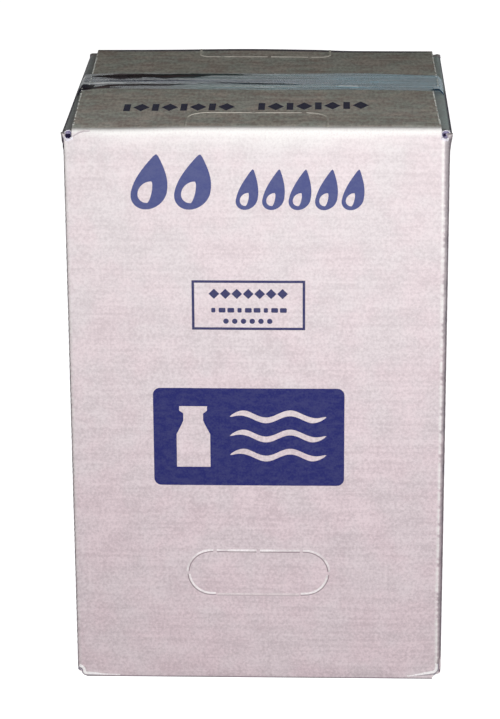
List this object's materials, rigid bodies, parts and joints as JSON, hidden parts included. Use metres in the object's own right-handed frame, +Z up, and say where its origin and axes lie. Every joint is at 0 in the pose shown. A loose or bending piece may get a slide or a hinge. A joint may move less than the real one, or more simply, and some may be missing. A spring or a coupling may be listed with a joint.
{
  "type": "bag-in-box milk",
  "caption": "Shut corrugated carton for bag-in-box milk, upright, with a taped top seam, a closed half-cut hand hole and press-out doors.",
  "frame": {"origin": "centre of the carton's base, on the surface that it stands on", "axes": "+Z up along the height, -Y out of the printed front panel, +X to the right along the front panel"},
  "size_m": [0.2566, 0.224, 0.4002],
  "materials": {
    "board": "white-topped corrugated board with a mottled liner, matt, printed in dark blue",
    "film_tape": "clear film tape, glossy, with a few wrinkles"
  },
  "bodies": {
    "root": {"carton": "board", "tape_top": "film_tape", "tape_bottom": "film_tape"}
  },
  "joints": []
}
